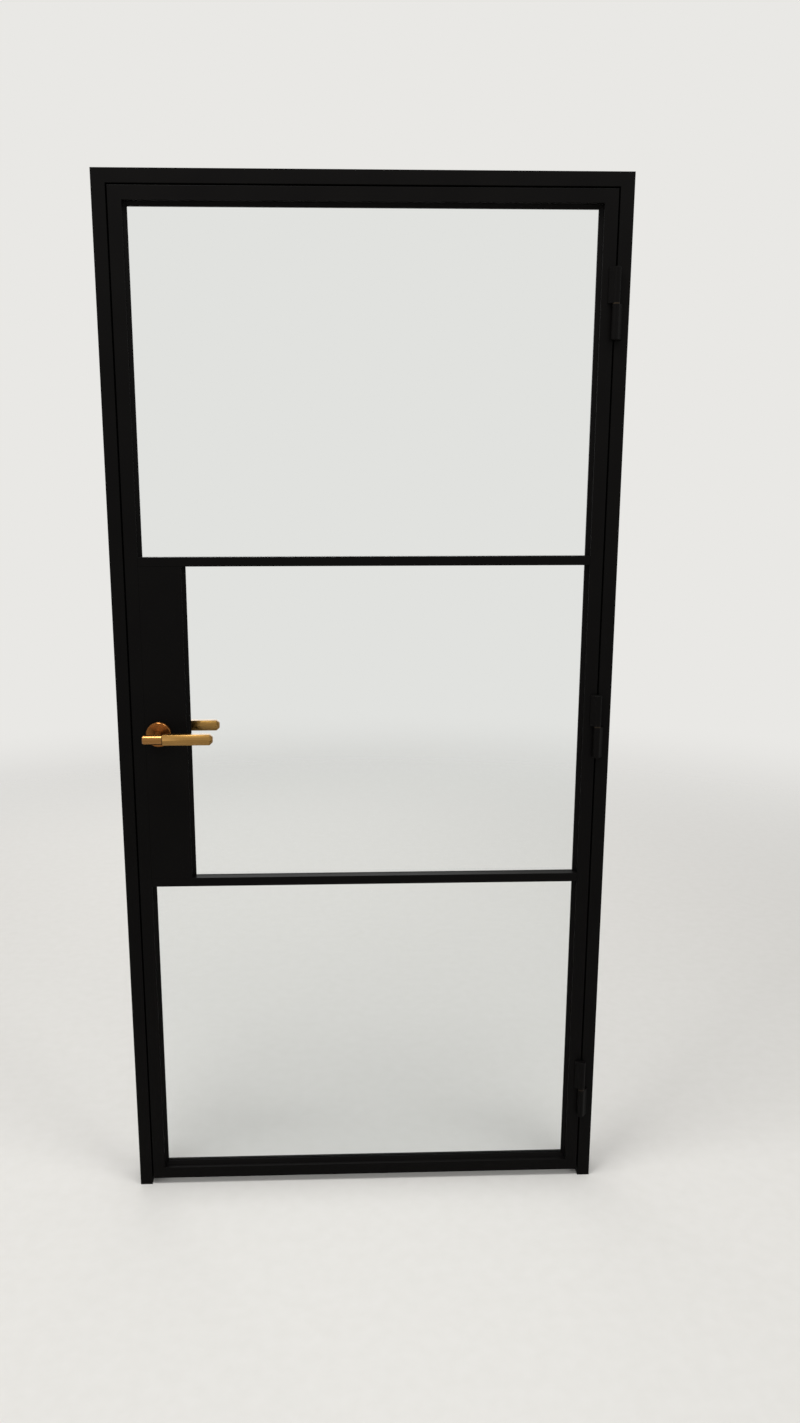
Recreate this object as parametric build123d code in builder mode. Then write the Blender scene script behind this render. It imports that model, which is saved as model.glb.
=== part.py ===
from build123d import *
import os

# A glazed door in its own frame, in millimetres. The origin is on the floor, midway between the
# jambs and at the middle of the leaf's thickness. X runs to the right, Y away from the viewer, Z up.

# Overall size of the frame
overall_width = 980.0
overall_height = 2038.0

# Section of the jambs and head, a rectangular tube, and of the stop, a smaller tube inside it
jamb_face = 25.5
frame_depth = 60.0
frame_wall = 2.0
stop_width = 15.0
stop_wall = 1.5
seal_room = 3.0
arris_radius = 0.8

# Gaps round the leaf
leaf_gap = 3.0
floor_gap = 14.0

# Section of the stiles and rails, a tube with a bevelled leg that holds the glass in front
leaf_depth = 30.0
leaf_face = 25.0
leaf_wall = 2.0
glazing_leg = 7.0
ledge_depth = 11.0
leg_nose = 1.0
leg_seat = 16.5

# Glazing bars
bar_face = 18.0
lower_bar_height = 692.0
upper_bar_height = 1341.0

# Glass, the rubber round its edge and the beads behind it
pane_thickness = 6.4
gasket_side = 1.5
gasket_base = 2.0
bead_height = 4.5
bead_arris = 0.8

# Lock box at the left of the middle pane
lock_box_face = 107.0
lock_skin = 2.0

# Lever position and the cross fixings of the roses
handle_height = 1003.0
backset = 52.0
rose_bolt_pitch = 38.0
rose_bolt_radius = 2.0

# Latch: bolt above the lever's axis, its throw, and the case it slides in
bolt_rise = 22.0
bolt_throw = 11.0
bolt_width = 12.0
bolt_height = 20.0
bolt_head_length = 26.0
bolt_bevel = 8.0
bolt_nose = 3.0
stem_radius = 3.0
stem_end = 3.0
case_thickness = 16.0
case_depth = 76.0
case_below = 35.0
case_above = 42.0
case_wall = 1.5
guide_lug_offset = 7.5
guide_lug_thickness = 2.0
guide_lug_drop = 5.0
follower_radius = 10.5
follower_journal = 8.0
follower_arm_radius = 16.0
follower_arm_width = 6.0
side_play = 0.5
spring_wire = 0.6
spring_turns = 6
spring_lengths_per_turn = 12
spring_sides = 4
spring_play = 0.8

# Faceplate of the latch, the plate that backs it, and the holes for their screws
faceplate_width = 20.0
faceplate_height = 150.0
backing_width = 24.0
backing_height = 176.0
backing_thickness = 3.0
face_screw_inset = 9.0
screw_head_radius = 3.8
screw_radius = 2.0
screw_length = 8.0
screw_head_angle = 90.0

# Strike in the lock jamb
strike_width = 20.0
strike_height = 90.0
strike_lip_height = 28.0
strike_pocket_margin = 1.0
strike_box_depth = 12.0
strike_box_wall = 1.5
strike_flange = 2.5
strike_flange_margin = 2.5
strike_screw_inset = 9.0

# Roses
rose_radius = 24.5
rose_depth = 8.5
rose_wall = 1.2
rose_edge = 1.2
rose_base_depth = 4.8
bolt_head_radius = 3.4
bolt_head_depth = 2.2

# Levers: a neck and collar, and a six-sided grip screwed into the collar
lever_projection = 50.0
neck_radius = 8.0
neck_journal = 7.5
collar_radius = 9.75
collar_outer = 23.5
collar_inner = 13.5
collar_chamfer = 1.2
grip_length = 98.0
grip_flats = 21.0
grip_point = 6.0
grip_root_chamfer = 0.8
spigot_radius = 5.0
spigot_length = 9.0
spindle_side = 8.0
spindle_depth = 31.0
spindle_chamfer = 0.5
grub_radius = 2.5
grub_offset = 16.0

# Hinges: three lift-off pairs of welded knuckles
hinge_length = 128.0
hinge_inset = 198.5
knuckle_radius = 7.0
knuckle_end = 1.2
wing_reach = 14.0
wing_thickness = 2.0
wing_overlap = 6.0
pin_radius = 4.0
pin_below = 50.0
pin_above = 45.0
washer_thickness = 2.0
washer_radius = 6.7

# Fixings through the jambs into the wall, a row up from the floor and a row down from the top
fixing_above_floor = 200.0
fixing_below_top = 203.0
fixing_spacing = 545.0
fixings_per_row = 2
fixing_radius = 3.5
fixing_access_radius = 6.5

# Rubber seal on the stop
seal_width = 8.0
seal_inset = 4.0
seal_wall = 0.8

# Clearances
running = 0.05
plate_fit = 0.2
free_gap = 0.3

# Places worked out from the sizes above
leaf_width = overall_width - 2 * (jamb_face + leaf_gap)
leaf_left = -leaf_width / 2
leaf_right = leaf_width / 2
leaf_bottom = floor_gap
leaf_top = overall_height - jamb_face - leaf_gap
leaf_height = leaf_top - leaf_bottom
leaf_front = -leaf_depth / 2
leaf_back = leaf_depth / 2
frame_left = -overall_width / 2
frame_right = overall_width / 2
jamb_inner = leaf_left - leaf_gap
stop_front = leaf_back + seal_room
frame_back = leaf_front + frame_depth
bar_web = bar_face - 2 * glazing_leg
leg_start = leg_seat - leg_nose
pane_front = leaf_front + leg_seat + gasket_side
pane_back = pane_front + pane_thickness
bead_front = pane_back + gasket_side
spindle_x = leaf_left + backset
bolt_level = handle_height + bolt_rise
case_front = leaf_left + leaf_wall
case_back = case_front + case_depth
case_height = case_below + case_above
case_level = handle_height + (case_above - case_below) / 2
guide_lug_x = spindle_x + guide_lug_offset - guide_lug_thickness
bolt_shoulder = leaf_left + bolt_head_length
stem_tail = guide_lug_x + guide_lug_thickness + stem_end + bolt_throw
lever_axis = leaf_front - lever_projection
collar_left = spindle_x - collar_outer
collar_right = spindle_x + collar_inner
hinge_x = leaf_right + leaf_gap / 2
hinge_y = leaf_front - knuckle_radius - free_gap
hinge_levels = {
    "top": leaf_top - hinge_inset,
    "middle": (leaf_top + leaf_bottom) / 2,
    "bottom": leaf_bottom + hinge_inset,
}

RIGHTWARD = Vector(1, 0, 0)
LEFTWARD = Vector(-1, 0, 0)
UPWARD = Vector(0, 0, 1)
DOWNWARD = Vector(0, 0, -1)
FORWARD = Vector(0, -1, 0)
BACKWARD = Vector(0, 1, 0)
FULL_TURN = 360.0

os.makedirs("parts", exist_ok=True)


def save(piece, name):
    """Label a finished piece and write it to its own file."""
    piece.label = name
    export_step(piece, f"parts/{name}.step")


# A rectangular tube with rounded edges, its section drawn from the corner of its face
def tube_section(face, depth, wall):
    with BuildSketch() as section:
        with Locations((face / 2, depth / 2)):
            Rectangle(face, depth)
        fillet(section.vertices(), arris_radius)
        with Locations((face / 2, depth / 2)):
            Rectangle(face - 2 * wall, depth - 2 * wall, mode=Mode.SUBTRACT)
    return section


# Sections of the jambs and head, and of the stop: X from the face inwards, Y backwards
frame_section = tube_section(jamb_face, frame_depth, frame_wall)
stop_section = tube_section(stop_width, frame_back - stop_front, stop_wall)

# Outline of the stiles and rails: X from the leaf's edge towards the glass, Y backwards
with BuildSketch() as leaf_outline:
    with BuildLine():
        Polyline(
            (0, 0),
            (leaf_face, 0),
            (leaf_face, ledge_depth),
            (leaf_face + glazing_leg, leg_start),
            (leaf_face + glazing_leg, leg_seat),
            (leaf_face, leg_seat),
            (leaf_face, leaf_depth),
            (0, leaf_depth),
            close=True,
        )
    make_face()
    fillet(leaf_outline.vertices().group_by(Axis.Y)[0], arris_radius)

# The same outline as a hollow tube
with BuildSketch() as leaf_section:
    add(leaf_outline.sketch)
    with Locations((leaf_face / 2, leaf_depth / 2)):
        Rectangle(leaf_face - 2 * leaf_wall, leaf_depth - 2 * leaf_wall, mode=Mode.SUBTRACT)

# Section of a glazing bar: a small tube in front and a web between the panes
with BuildSketch() as bar_section:
    with Locations((0, leg_seat / 2)):
        Rectangle(bar_face, leg_seat)
    fillet(bar_section.vertices().group_by(Axis.Y)[0], arris_radius)
    with Locations((0, leg_seat / 2)):
        Rectangle(bar_face - 2 * leaf_wall, leg_seat - 2 * leaf_wall, mode=Mode.SUBTRACT)
    with Locations((0, (leg_seat + leaf_depth) / 2)):
        Rectangle(bar_web, leaf_depth - leg_seat)


# A length of one section, mitred where it meets its neighbours
def member(section, corner, inward, along, length, mitre_start=True, mitre_end=True):
    with BuildPart() as piece:
        with BuildSketch(Plane(origin=corner, x_dir=inward, z_dir=along)):
            add(section.sketch)
        extrude(amount=length)
        if mitre_start:
            split(bisect_by=Plane(origin=corner, z_dir=inward - along), keep=Keep.BOTTOM)
        if mitre_end:
            split(bisect_by=Plane(origin=corner + along * length, z_dir=inward + along), keep=Keep.BOTTOM)
    return piece.part


# Corners of the frame
foot_left = Vector(frame_left, leaf_front, 0)
foot_right = Vector(frame_right, leaf_front, 0)
head_left = foot_left + UPWARD * overall_height
head_right = foot_right + UPWARD * overall_height
fixing_steps = [step * fixing_spacing for step in range(fixings_per_row)]
fixing_heights = [fixing_above_floor + rise for rise in fixing_steps]
fixing_heights += [overall_height - fixing_below_top - drop for drop in fixing_steps]


# A jamb with its wall fixings: a bolt hole in the outer wall, a wider one for the tool in the inner wall
def drilled_jamb(bar, foot, inward):
    with BuildPart() as piece:
        add(bar)
        for height in fixing_heights:
            outer = foot + UPWARD * height + BACKWARD * (leaf_depth / 2)
            inner = outer + inward * (jamb_face - frame_wall)
            with BuildSketch(Plane(origin=outer, z_dir=inward)):
                Circle(fixing_radius)
            extrude(amount=frame_wall, mode=Mode.SUBTRACT)
            with BuildSketch(Plane(origin=inner, z_dir=inward)):
                Circle(fixing_access_radius)
            extrude(amount=frame_wall, mode=Mode.SUBTRACT)
    return piece.part


# Jambs and head, cut square on the floor and mitred at the top
left_bar = member(frame_section, foot_left, RIGHTWARD, UPWARD, overall_height, mitre_start=False)
right_bar = member(frame_section, head_right, LEFTWARD, DOWNWARD, overall_height, mitre_end=False)
left_jamb = drilled_jamb(left_bar, foot_left, RIGHTWARD)
save(drilled_jamb(right_bar, foot_right, LEFTWARD), "jamb_hinge_side")
save(member(frame_section, head_left, DOWNWARD, RIGHTWARD, overall_width), "head")

# Stop that the leaf closes on: three small tubes inside the jambs and head, mitred at the top
stop_left = Vector(jamb_inner, stop_front, 0)
stop_right = Vector(-jamb_inner, stop_front, 0)
stop_height = overall_height - jamb_face
stop_top_left = stop_left + UPWARD * stop_height
stop_top_right = stop_right + UPWARD * stop_height
save(member(stop_section, stop_left, RIGHTWARD, UPWARD, stop_height, mitre_start=False), "stop_lock_side")
save(member(stop_section, stop_top_right, LEFTWARD, DOWNWARD, stop_height, mitre_end=False), "stop_hinge_side")
save(member(stop_section, stop_top_left, DOWNWARD, RIGHTWARD, -2 * jamb_inner), "stop_head")

# Outline of the strike plate on the jamb's inner face: local X is up, local Y forwards
strike_face = Plane(origin=(jamb_inner, 0, bolt_level), x_dir=UPWARD, z_dir=RIGHTWARD)
with BuildSketch() as strike_outline:
    Rectangle(strike_height, strike_width)
    with Locations((0, -leaf_front / 2)):
        Rectangle(strike_lip_height, -leaf_front)

# Lock jamb, with the wall cut away where the strike plate lies flush
with BuildPart() as jamb_lock_side:
    add(left_jamb)
    with BuildSketch(strike_face):
        add(strike_outline.sketch)
        offset(amount=plate_fit, kind=Kind.INTERSECTION)
    extrude(amount=-frame_wall, mode=Mode.SUBTRACT)
save(jamb_lock_side.part, "jamb_lock_side")

# Seal on the stop, one length bent round three sides: a hollow D that the leaf closes on
seal_line = stop_width - seal_inset - seal_width / 2
seal_x = leaf_left - leaf_gap + seal_line
seal_top = leaf_top + leaf_gap - seal_line
seal_half = seal_width / 2
bore_half = seal_half - 2 * seal_wall
seal_crown = free_gap - seal_room
with BuildPart() as frame_seal:
    with BuildLine():
        seal_path = Polyline(
            (seal_x, stop_front, 0),
            (seal_x, stop_front, seal_top),
            (-seal_x, stop_front, seal_top),
            (-seal_x, stop_front, 0),
        )
    with BuildSketch(Plane(origin=seal_path @ 0, x_dir=RIGHTWARD, z_dir=UPWARD)):
        with BuildLine():
            Polyline((seal_half, -seal_wall), (seal_half, 0), (-seal_half, 0), (-seal_half, -seal_wall))
            ThreePointArc((-seal_half, -seal_wall), (0, seal_crown), (seal_half, -seal_wall))
        make_face()
        with BuildLine():
            Line((-bore_half, -seal_wall), (bore_half, -seal_wall))
            ThreePointArc((-bore_half, -seal_wall), (0, seal_crown + seal_wall), (bore_half, -seal_wall))
        make_face(mode=Mode.SUBTRACT)
    sweep(path=seal_path, transition=Transition.RIGHT)
save(frame_seal.part, "frame_seal")

# Strike plate, flush in the jamb, with a lip that runs forwards to the frame's face
strike_screw_offset = strike_height / 2 - strike_screw_inset
pocket_height = bolt_height + 2 * strike_pocket_margin
pocket_width = bolt_width + 2 * strike_pocket_margin
with BuildPart() as strike_plate:
    with BuildSketch(strike_face):
        add(strike_outline.sketch)
        Rectangle(pocket_height, pocket_width, mode=Mode.SUBTRACT)
    extrude(amount=-frame_wall)
    lip_edge = strike_plate.edges().filter_by(Axis.Z).group_by(Axis.Y)[0].sort_by(Axis.X)[-1]
    fillet(lip_edge, frame_wall / 2)
    with Locations(strike_face):
        with Locations((strike_screw_offset, 0), (-strike_screw_offset, 0)):
            CounterSinkHole(screw_radius, screw_head_radius, frame_wall, screw_head_angle)
save(strike_plate.part, "strike_plate")

# Box behind the strike, with the flange that the strike's screws bite in
strike_back = strike_face.offset(-frame_wall)
with BuildPart() as strike_box:
    with BuildSketch(strike_back):
        Rectangle(strike_height + 2 * strike_flange_margin, strike_width + 2 * strike_flange_margin)
    extrude(amount=-strike_flange)
    with BuildSketch(strike_back):
        Rectangle(pocket_height + 2 * strike_box_wall, pocket_width + 2 * strike_box_wall)
    extrude(amount=-strike_box_depth)
    with BuildSketch(strike_back):
        Rectangle(pocket_height, pocket_width)
    extrude(amount=strike_box_wall - strike_box_depth, mode=Mode.SUBTRACT)
    with Locations(strike_back):
        with Locations((strike_screw_offset, 0), (-strike_screw_offset, 0)):
            Hole(screw_radius, depth=screw_length)
save(strike_box.part, "strike_box")

# Stiles and rails of the leaf
lower_left = Vector(leaf_left, leaf_front, leaf_bottom)
upper_left = Vector(leaf_left, leaf_front, leaf_top)
lower_right = Vector(leaf_right, leaf_front, leaf_bottom)
upper_right = Vector(leaf_right, leaf_front, leaf_top)

# The lock stile is cut for the latch: the faceplate in its edge and the case through its tube
leaf_edge = Plane(origin=(leaf_left, 0, case_level), x_dir=UPWARD, z_dir=LEFTWARD)
lock_stile = member(leaf_section, lower_left, RIGHTWARD, UPWARD, leaf_height)
with BuildPart() as stile_lock_side:
    add(lock_stile)
    with BuildSketch(leaf_edge):
        Rectangle(faceplate_height + 2 * plate_fit, faceplate_width + 2 * plate_fit)
    extrude(amount=-leaf_wall, mode=Mode.SUBTRACT)
    with BuildSketch(leaf_edge):
        Rectangle(case_height + 2 * plate_fit, case_thickness + 2 * plate_fit)
    extrude(amount=-(leaf_face + glazing_leg), mode=Mode.SUBTRACT)
save(stile_lock_side.part, "stile_lock_side")

save(member(leaf_section, upper_right, LEFTWARD, DOWNWARD, leaf_height), "stile_hinge_side")
save(member(leaf_section, upper_left, DOWNWARD, RIGHTWARD, leaf_width), "rail_top")
save(member(leaf_section, lower_right, UPWARD, LEFTWARD, leaf_width), "rail_bottom")


# Glazing bars, their ends notched over the stiles' legs
def glazing_bar(level):
    bar_end = Vector(leaf_right - leaf_face, leaf_front, level)
    notch_left = Vector(leaf_left, leaf_front, level - bar_face / 2)
    notch_right = Vector(leaf_right, leaf_front, level + bar_face / 2)
    with BuildPart() as bar:
        with BuildSketch(Plane(origin=bar_end, x_dir=UPWARD, z_dir=LEFTWARD)):
            add(bar_section.sketch)
        extrude(amount=leaf_width - 2 * leaf_face)
        with BuildSketch(Plane(origin=notch_left, x_dir=RIGHTWARD, z_dir=UPWARD)):
            add(leaf_outline.sketch)
        extrude(amount=bar_face, mode=Mode.SUBTRACT)
        with BuildSketch(Plane(origin=notch_right, x_dir=LEFTWARD, z_dir=DOWNWARD)):
            add(leaf_outline.sketch)
        extrude(amount=bar_face, mode=Mode.SUBTRACT)
    return bar.part


save(glazing_bar(upper_bar_height), "bar_upper")
save(glazing_bar(lower_bar_height), "bar_lower")

# Lock box: one folded sheet, open towards the stile, with a glazing leg on its right edge
box_bottom = lower_bar_height + bar_web / 2
box_top = upper_bar_height - bar_web / 2
spindle_middle = Plane(origin=(spindle_x, 0, handle_height), x_dir=RIGHTWARD, z_dir=FORWARD)
spindle_front = spindle_middle.offset(leaf_depth / 2)
rose_bolt_spots = [(-rose_bolt_pitch / 2, 0), (rose_bolt_pitch / 2, 0)]
with BuildPart() as lock_box:
    with BuildSketch(Plane(origin=(leaf_left, leaf_front, box_bottom), x_dir=RIGHTWARD, z_dir=UPWARD)):
        with BuildLine():
            Polyline(
                (leaf_face, 0),
                (lock_box_face, 0),
                (lock_box_face, ledge_depth),
                (lock_box_face + glazing_leg, leg_start),
                (lock_box_face + glazing_leg, leg_seat),
                (lock_box_face, leg_seat),
                (lock_box_face, leaf_depth),
                (leaf_face, leaf_depth),
                (leaf_face, leaf_depth - lock_skin),
                (lock_box_face - lock_skin, leaf_depth - lock_skin),
                (lock_box_face - lock_skin, lock_skin),
                (leaf_face, lock_skin),
                close=True,
            )
        make_face()
    extrude(amount=box_top - box_bottom)
    for bar_level, inward_sign in ((lower_bar_height, 1), (upper_bar_height, -1)):
        notch_level = bar_level + inward_sign * (bar_web + glazing_leg) / 2
        with BuildSketch(Plane(origin=(leaf_left, leaf_front, notch_level), x_dir=RIGHTWARD, z_dir=UPWARD)):
            with Locations(((leaf_face + lock_box_face + glazing_leg) / 2, leg_seat / 2)):
                Rectangle(lock_box_face + glazing_leg - leaf_face, leg_seat)
        extrude(amount=glazing_leg / 2, both=True, mode=Mode.SUBTRACT)
    with BuildSketch(spindle_front):
        Circle(neck_radius + free_gap)
        with Locations(rose_bolt_spots):
            Circle(rose_bolt_radius + plate_fit)
    extrude(amount=-leaf_depth, mode=Mode.SUBTRACT)
save(lock_box.part, "lock_box")

# The three openings for glass, each from its lowest left to its highest right corner
glass_left = leaf_left + leaf_face
glass_right = leaf_right - leaf_face
openings = {
    "top": (glass_left, upper_bar_height + bar_web / 2, glass_right, leaf_top - leaf_face),
    "middle": (leaf_left + lock_box_face, box_bottom, glass_right, box_top),
    "bottom": (glass_left, leaf_bottom + leaf_face, glass_right, lower_bar_height - bar_web / 2),
}


# A flat rectangle standing across the leaf, between two corners and two depths
def upright_slab(left, bottom, right, top, front, back):
    with BuildPart() as slab:
        with BuildSketch(Plane.XZ.offset(-front)):
            with Locations(((left + right) / 2, (bottom + top) / 2)):
                Rectangle(right - left, top - bottom)
        extrude(amount=front - back)
    return slab.part


# Panes of glass
for name, (left, bottom, right, top) in openings.items():
    edge = gasket_base
    pane = upright_slab(left + edge, bottom + edge, right - edge, top - edge, pane_front, pane_back)
    save(pane, f"glass_{name}")

# Rubber channels round the panes
gasket_front = pane_front - gasket_side
for name, (left, bottom, right, top) in openings.items():
    edge = gasket_base
    lip = bead_height
    block = upright_slab(left, bottom, right, top, gasket_front, bead_front)
    sight = upright_slab(left + lip, bottom + lip, right - lip, top - lip, gasket_front, bead_front)
    seat = upright_slab(left + edge, bottom + edge, right - edge, top - edge, pane_front, pane_back)
    with BuildPart() as gasket:
        add(block)
        add(sight, mode=Mode.SUBTRACT)
        add(seat, mode=Mode.SUBTRACT)
    save(gasket.part, f"gasket_{name}")


# A glazing bead: a bar with its two back edges eased
def glazing_bead(left, bottom, right, top):
    bar = upright_slab(left, bottom, right, top, bead_front, leaf_back)
    run = Axis.X if right - left > top - bottom else Axis.Z
    with BuildPart() as bead:
        add(bar)
        chamfer(bead.faces().sort_by(Axis.Y)[-1].edges().filter_by(run), bead_arris)
    return bead.part


for name, (left, bottom, right, top) in openings.items():
    bead = bead_height
    save(glazing_bead(left, top - bead, right, top), f"bead_{name}_upper")
    save(glazing_bead(left, bottom, right, bottom + bead), f"bead_{name}_lower")
    save(glazing_bead(left, bottom + bead, left + bead, top - bead), f"bead_{name}_left")
    save(glazing_bead(right - bead, bottom + bead, right, top - bead), f"bead_{name}_right")

# Plate welded behind the stile's edge, tapped for the faceplate's screws
face_screw_offset = faceplate_height / 2 - face_screw_inset
edge_back = leaf_edge.offset(-leaf_wall)
with BuildPart() as lock_backing_plate:
    with BuildSketch(edge_back):
        Rectangle(backing_height, backing_width)
        Rectangle(case_height + 2 * plate_fit, case_thickness + 2 * plate_fit, mode=Mode.SUBTRACT)
    extrude(amount=-backing_thickness)
    with Locations(edge_back):
        with Locations((face_screw_offset, 0), (-face_screw_offset, 0)):
            Hole(screw_radius, depth=backing_thickness)
save(lock_backing_plate.part, "lock_backing_plate")

# Faceplate of the latch, flush in the stile's edge
bolt_offset = bolt_level - case_level
with BuildPart() as latch_faceplate:
    with BuildSketch(leaf_edge):
        Rectangle(faceplate_height, faceplate_width)
        with Locations((bolt_offset, 0)):
            Rectangle(bolt_height + 2 * plate_fit, bolt_width + 2 * plate_fit, mode=Mode.SUBTRACT)
    extrude(amount=-leaf_wall)
    with Locations(leaf_edge):
        with Locations((face_screw_offset, 0), (-face_screw_offset, 0)):
            CounterSinkHole(screw_radius, screw_head_radius, leaf_wall, screw_head_angle)
save(latch_faceplate.part, "latch_faceplate")

# Case of the latch: a thin box with a lug inside that guides the bolt's stem
lug_bottom = bolt_level - guide_lug_drop
lug_top = handle_height + case_above - case_wall
lug_middle = (lug_bottom + lug_top) / 2
case_inside = case_thickness - 2 * case_wall
with BuildPart() as latch_case:
    with BuildSketch(edge_back):
        Rectangle(case_height, case_thickness)
    extrude(amount=-case_depth)
    with BuildSketch(edge_back.offset(-case_wall)):
        Rectangle(case_height - 2 * case_wall, case_inside)
    extrude(amount=2 * case_wall - case_depth, mode=Mode.SUBTRACT)
    with BuildSketch(Plane(origin=(guide_lug_x, 0, lug_middle), x_dir=UPWARD, z_dir=RIGHTWARD)):
        Rectangle(lug_top - lug_bottom, case_inside)
        with Locations((bolt_level - lug_middle, 0)):
            Circle(stem_radius + running, mode=Mode.SUBTRACT)
    extrude(amount=guide_lug_thickness)
    with BuildSketch(edge_back):
        with Locations((bolt_offset, 0)):
            Rectangle(bolt_height + 2 * plate_fit, bolt_width + 2 * plate_fit)
    extrude(amount=-case_wall, mode=Mode.SUBTRACT)
    with BuildSketch(spindle_middle):
        Circle(follower_journal + running)
        with Locations(rose_bolt_spots):
            Circle(rose_bolt_radius + plate_fit)
    extrude(amount=case_thickness / 2, both=True, mode=Mode.SUBTRACT)
save(latch_case.part, "latch_case")

# Latch bolt, drawn back flush with the faceplate: a head bevelled behind, on a round stem
bolt_underside = bolt_level - bolt_height / 2
with BuildPart() as latch_bolt:
    with BuildSketch(Plane(origin=(leaf_left, 0, bolt_underside), x_dir=RIGHTWARD, z_dir=UPWARD)):
        with BuildLine():
            Polyline(
                (0, -bolt_width / 2),
                (bolt_head_length, -bolt_width / 2),
                (bolt_head_length, bolt_width / 2),
                (bolt_bevel, bolt_width / 2),
                (0, bolt_nose - bolt_width / 2),
                close=True,
            )
        make_face()
    extrude(amount=bolt_height)
    with BuildSketch(Plane(origin=(bolt_shoulder, 0, bolt_level), z_dir=RIGHTWARD)):
        Circle(stem_radius)
    extrude(amount=stem_tail - bolt_shoulder)
save(latch_bolt.part, "latch_bolt")

# Spring round the stem, from the bolt's shoulder to the guide lug: a coil of short straight lengths
spring_radius = stem_radius + spring_play + spring_wire
spring_length = guide_lug_x - bolt_shoulder - 2 * spring_wire
spring_start = Vector(bolt_shoulder + spring_wire, 0, bolt_level)
spring_steps = spring_turns * spring_lengths_per_turn
coil_points = []
for step in range(spring_steps + 1):
    outwards = (BACKWARD * spring_radius).rotate(Axis.X, FULL_TURN * step / spring_lengths_per_turn)
    coil_points.append(spring_start + outwards + RIGHTWARD * (spring_length * step / spring_steps))
with BuildPart() as latch_spring:
    with BuildLine() as coil:
        Polyline(*coil_points)
    with BuildSketch(Plane(origin=coil_points[0], z_dir=coil.wire() % 0)):
        RegularPolygon(spring_wire, side_count=spring_sides)
    sweep(transition=Transition.RIGHT)
save(latch_spring.part, "latch_spring")

# Follower that the spindle turns inside the case
with BuildPart() as follower:
    with BuildSketch(spindle_middle):
        Circle(follower_radius)
        with Locations((0, follower_arm_radius / 2)):
            Rectangle(follower_arm_width, follower_arm_radius)
    extrude(amount=case_inside / 2 - side_play, both=True)
    with BuildSketch(spindle_middle):
        Circle(follower_journal)
    extrude(amount=case_thickness / 2, both=True)
    with BuildSketch(spindle_middle):
        Rectangle(spindle_side + 2 * running, spindle_side + 2 * running)
    extrude(amount=case_thickness / 2, both=True, mode=Mode.SUBTRACT)
save(follower.part, "follower")

# Square spindle through both levers
spindle_half = leaf_depth / 2 + spindle_depth
with BuildPart() as spindle:
    with BuildSketch(spindle_middle):
        Rectangle(spindle_side, spindle_side)
    extrude(amount=spindle_half, both=True)
    chamfer(spindle.faces().filter_by(Axis.Y).edges(), spindle_chamfer)
save(spindle.part, "spindle")


# Parts of one side's furniture, made for the front and mirrored for the back
journal_end = rose_base_depth + free_gap
grub_plane = Plane(origin=(spindle_x, leaf_front - grub_offset, handle_height), z_dir=DOWNWARD)


def rose_base():
    with BuildPart() as base:
        with BuildSketch(spindle_front):
            Circle(rose_radius - rose_wall - plate_fit)
            Circle(neck_journal + running, mode=Mode.SUBTRACT)
            with Locations(rose_bolt_spots):
                Circle(rose_bolt_radius + plate_fit, mode=Mode.SUBTRACT)
        extrude(amount=rose_base_depth)
    return base.part


def rose_cover():
    with BuildPart() as cover:
        with BuildSketch(spindle_front):
            Circle(rose_radius)
        extrude(amount=rose_depth)
        chamfer(cover.faces().sort_by(Axis.Y)[0].edges(), rose_edge)
        with BuildSketch(spindle_front):
            Circle(rose_radius - rose_wall)
        extrude(amount=rose_depth - rose_wall, mode=Mode.SUBTRACT)
        with BuildSketch(spindle_front):
            Circle(neck_radius + free_gap)
        extrude(amount=rose_depth, mode=Mode.SUBTRACT)
    return cover.part


def lever_neck():
    with BuildPart() as neck:
        with BuildSketch(spindle_front.offset(journal_end)):
            Circle(neck_radius)
        extrude(amount=lever_projection - journal_end)
        with BuildSketch(Plane(origin=(collar_left, lever_axis, handle_height), z_dir=RIGHTWARD)):
            Circle(collar_radius)
        extrude(amount=collar_right - collar_left)
        chamfer(neck.edges().group_by(Axis.X)[0], collar_chamfer)
        with BuildSketch(spindle_front.offset(free_gap)):
            Circle(neck_journal)
        extrude(amount=rose_base_depth)
        with BuildSketch(spindle_front.offset(free_gap)):
            Rectangle(spindle_side + 2 * running, spindle_side + 2 * running)
        extrude(amount=spindle_depth, mode=Mode.SUBTRACT)
        with BuildSketch(Plane(origin=(collar_right, lever_axis, handle_height), z_dir=LEFTWARD)):
            Circle(spigot_radius)
        extrude(amount=spigot_length + free_gap, mode=Mode.SUBTRACT)
        with BuildSketch(grub_plane):
            Circle(grub_radius)
        extrude(amount=neck_radius, mode=Mode.SUBTRACT)
    return neck.part


def lever_grip():
    grip_plane = Plane(origin=(collar_right, lever_axis, handle_height), x_dir=FORWARD, z_dir=RIGHTWARD)
    with BuildPart() as grip:
        with BuildSketch(grip_plane):
            RegularPolygon(grip_flats / 2, side_count=6, major_radius=False)
        extrude(amount=grip_length)
        chamfer(grip.faces().sort_by(Axis.X)[-1].edges(), grip_point)
        chamfer(grip.faces().sort_by(Axis.X)[0].edges(), grip_root_chamfer)
        with BuildSketch(grip_plane):
            Circle(spigot_radius)
        extrude(amount=-spigot_length)
    return grip.part


for name, maker in (
    ("rose_base", rose_base),
    ("rose", rose_cover),
    ("lever_{}_neck", lever_neck),
    ("lever_{}_grip", lever_grip),
):
    front_piece = maker()
    pattern = name if "{}" in name else name + "_{}"
    save(front_piece, pattern.format("front"))
    with BuildPart() as back_piece:
        mirror(front_piece, about=Plane.XZ)
    save(back_piece.part, pattern.format("back"))

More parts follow.
